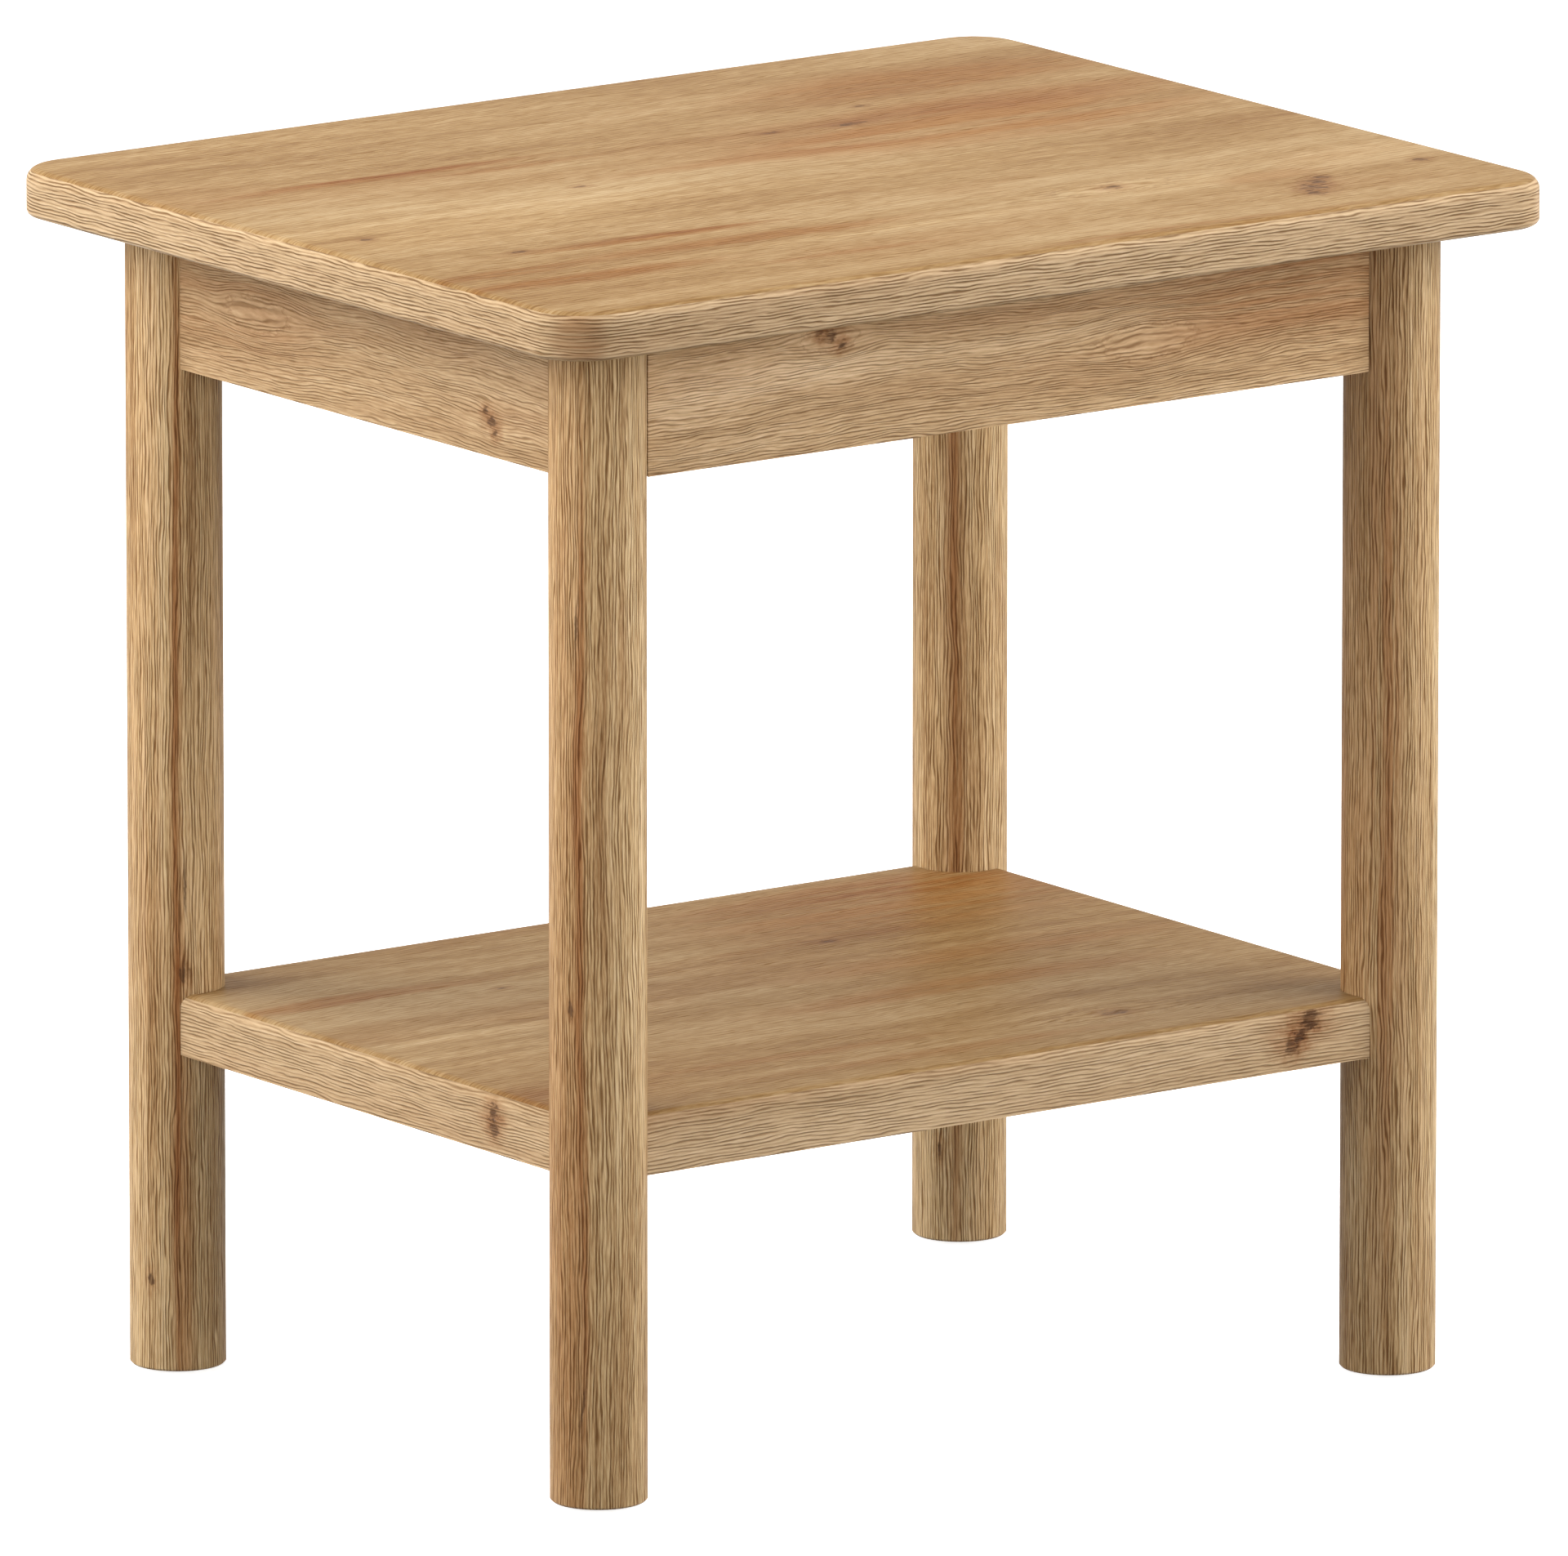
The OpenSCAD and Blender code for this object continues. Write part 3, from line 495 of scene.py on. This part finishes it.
def around(x, y, half_x, half_y, r):
    """How far along the outline of a rounded rectangle the point lies, from the middle of the front."""
    sx, sy = (1 if x > 0 else -1), (1 if y > 0 else -1)
    px, py = abs(x), abs(y)
    straight_x, straight_y, turn = half_x - r, half_y - r, r * math.pi / 2
    if px <= straight_x:
        s = px if sy < 0 else straight_x + turn + 2 * straight_y + turn + (straight_x - px)
    elif py <= straight_y:
        s = straight_x + turn + straight_y + sy * py
    else:
        a = math.atan2(px - straight_x, py - straight_y)
        s = straight_x + r * a if sy < 0 else straight_x + turn + 2 * straight_y + r * (math.pi / 2 - a)
    return sx * s


def slab_grain(hi, corner):
    """Grain of a slab: along X on its faces, along the edge on its sides."""
    def place(centre, normal, points):
        if normal.z > 0.72 or normal.z < -0.8:    # what is steeper on the rounded edges goes with the side
            return [(p.x, p.y, FACE if normal.z > 0 else UNDER) for p in points], 0
        out = []
        base = around(centre.x, centre.y, hi.x, hi.y, corner)
        for p in points:
            s = around(p.x, p.y, hi.x, hi.y, corner)
            if abs(s - base) > hi.x:    # this point is across the middle of the back
                s = -s
            out.append((s, p.z, EDGE))
        return out, 1
    return place


def panel_grain(axis, deep):
    """Grain of an upright board: along the axis (0 for X, 1 for Y), with height as the way across."""
    def place(centre, normal, points):
        return [(p[axis], p.z + (0 if abs(normal.z) < 0.7 else p[1 - axis]), deep) for p in points], 0
    return place


def flat_grain(axis, deep):
    """Grain of a lying board: along the axis, with the other level one as the way across."""
    def place(centre, normal, points):
        return [(p[axis], p[1 - axis], p.z + deep) for p in points], 0
    return place


def leg_grain(x, y):
    """Grain up a leg whose axis is at (x, y)."""
    def place(centre, normal, points):
        return [(p.z, p.x - x, p.y - y) for p in points], 0
    return place


def at_notch(e):
    """Whether the edge is on the shelf's top, along a leg."""
    for v in e.verts:
        from_axis = math.hypot(abs(v.co.x) * MM - LEG_X, abs(v.co.y) * MM - LEG_Y)
        if abs(v.co.z * MM - shelf_hi.z) > 0.05 or abs(from_axis - LEG_RADIUS) > 0.4:
            return False
    return True


piece("tabletop", slab_grain(top_hi, TOP_CORNER), [top_face, edge_face], soften=0)
piece("lower_shelf", slab_grain(shelf_hi, SHELF_CORNER), [shelf_face, shelf_edge], soften=0.5,
      also=[(at_notch, 1.6, 4)])
piece("drawer_front", panel_grain(0, FACE), [panel], soften=0.9)
piece("side_apron_left", panel_grain(1, FACE), [side_panel], soften=0.6)
piece("side_apron_right", panel_grain(1, RIGHT), [side_panel], soften=0.6)
piece("rear_apron", panel_grain(0, REAR), [panel], soften=0.6)
for n, look in leg_looks.items():
    lo, hi = (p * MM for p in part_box(n))
    piece(n, leg_grain((lo.x + hi.x) / 2, (lo.y + hi.y) / 2), [look], soften=0.4)
piece("front_top_rail", flat_grain(0, FACE), [inner], soften=0.4)
for n, deep in (("runner_spacer_left", 720), ("runner_spacer_right", 760), ("drawer_side_left", 640),
                ("drawer_side_right", 680)):
    piece(n, panel_grain(1, deep), [inner_side], soften=0.4)
piece("drawer_back", panel_grain(0, BACK), [inner], soften=0.4)
piece("drawer_bottom", flat_grain(0, BOTTOM), [inner], soften=0.3)

PLAIN = {"zinc_steel": zinc, "bright_steel": bright, "beech_dowel": beech_wood, "glide_plastic": black}
SHEET = ("slide_cabinet_left", "slide_cabinet_right", "slide_drawer_left", "slide_drawer_right",
         "top_brackets")
for n, o in nodes.items():
    if not o.hide_render:
        o.data.materials.clear()
        o.data.materials.append(zinc_sheet if n in SHEET else PLAIN[SLOTS[n]])


# ---------- Floor, light and camera ----------

def stage_piece(name, bm, place, material):
    """Something that stands round the table and isn't part of it."""
    bmesh.ops.translate(bm, verts=bm.verts, vec=place)
    mesh = bpy.data.meshes.new(name)
    bm.to_mesh(mesh)
    bm.free()
    mesh.materials.append(material)
    o = bpy.data.objects.new(name, mesh)
    bpy.context.scene.collection.objects.link(o)
    return o


def floor():
    """A white floor, a hair below the feet. It is left out of the light that bounces on to the table, as in
    a studio cut-out."""
    bm = bmesh.new()
    bmesh.ops.create_grid(bm, x_segments=4, y_segments=4, size=60)
    g = Graph("floor_white")
    mottled = g.noise(g.metres(), (0.8, 0.8, 0.8), 2, 0.5)
    white = g.ramp(mottled, [(0.3, (0.88, 0.88, 0.88)), (0.7, (0.90, 0.90, 0.90))])
    look = g.surface(white, 0.9, Emission_Color=(1, 1, 1, 1), Emission_Strength=0.85, Specular_IOR_Level=0.0)
    stage_piece("floor", bm, (0, 0, -0.0001), look).visible_diffuse = False


def reflector(radius, height, glow):
    """A white wall round the studio that shows only in reflections, and so gives the boards their sheen."""
    bm = bmesh.new()
    bmesh.ops.create_cone(bm, cap_ends=False, segments=64, radius1=radius, radius2=radius, depth=height)
    look = Graph("reflector_white").surface((0.8, 0.8, 0.8), 0.9, Emission_Color=(1, 1, 1, 1),
                                            Emission_Strength=glow)
    o = stage_piece("reflector", bm, (0, 0, height / 2), look)
    o.visible_camera = o.visible_diffuse = o.visible_shadow = False


def softbox(name, towards, power, distance=3.2, size=2.0):
    """A soft square light that shines on the middle of the table from a direction, and isn't seen itself."""
    light = bpy.data.lights.new(name, "AREA")
    light.shape = "SQUARE"
    light.size = size
    light.energy = power
    o = bpy.data.objects.new(name, light)
    bpy.context.scene.collection.objects.link(o)
    d = Vector(towards).normalized()
    o.location = Vector((0, 0, 0.3)) + d * distance
    o.rotation_mode = "QUATERNION"
    o.rotation_quaternion = d.to_track_quat("Z", "Y")
    o.visible_camera = o.visible_glossy = False


def sky(strength):
    world = bpy.data.worlds.new("studio")
    world.use_nodes = True
    background = world.node_tree.nodes["Background"]
    background.inputs["Color"].default_value = (1, 1, 1, 1)
    background.inputs["Strength"].default_value = strength
    bpy.context.scene.world = world


def camera():
    """A very long lens, looking down on the table from its front left."""
    azimuth, pitch = math.radians(AZIMUTH), math.radians(PITCH)
    cam = bpy.data.cameras.new("camera")
    cam.sensor_width = 36
    cam.lens = LENS
    cam.clip_start, cam.clip_end = 0.5, 200
    o = bpy.data.objects.new("camera", cam)
    bpy.context.scene.collection.objects.link(o)
    ahead = Vector((math.sin(azimuth), math.cos(azimuth), 0))
    right = Vector((math.cos(azimuth), -math.sin(azimuth), 0))
    o.location = ahead * -CAMERA_BACK + right * CAMERA_RIGHT + Vector((0, 0, CAMERA_UP))
    back = Vector((-ahead.x * math.cos(pitch), -ahead.y * math.cos(pitch), math.sin(pitch)))
    o.rotation_mode = "QUATERNION"
    o.rotation_quaternion = back.to_track_quat("Z", "Y")
    bpy.context.scene.camera = o


floor()
sky(0.12)
reflector(8.0, 6.0, 0.4)
# Where each light comes from, and its power in watts.
LIGHTS = [((-0.93, 0.36, 0.25), 34), ((-0.93, 0.36, 1.0), 28), ((-0.62, 0.78, 0.5), 69),
          ((-1.0, -0.1, 0.5), 37), ((0.70, -0.72, 0.25), 52), ((0.70, -0.72, 1.0), 25),
          ((0.95, -0.3, 0.5), 46), ((0.2, -1.0, 0.2), 15), ((0.1, 0.1, 1.0), 46), ((-0.59, -0.81, 0.05), 28)]
for n, (towards, power) in enumerate(LIGHTS):
    softbox(f"box_{n + 1}", towards, power)
camera()
bpy.context.scene.view_settings.view_transform = "Standard"
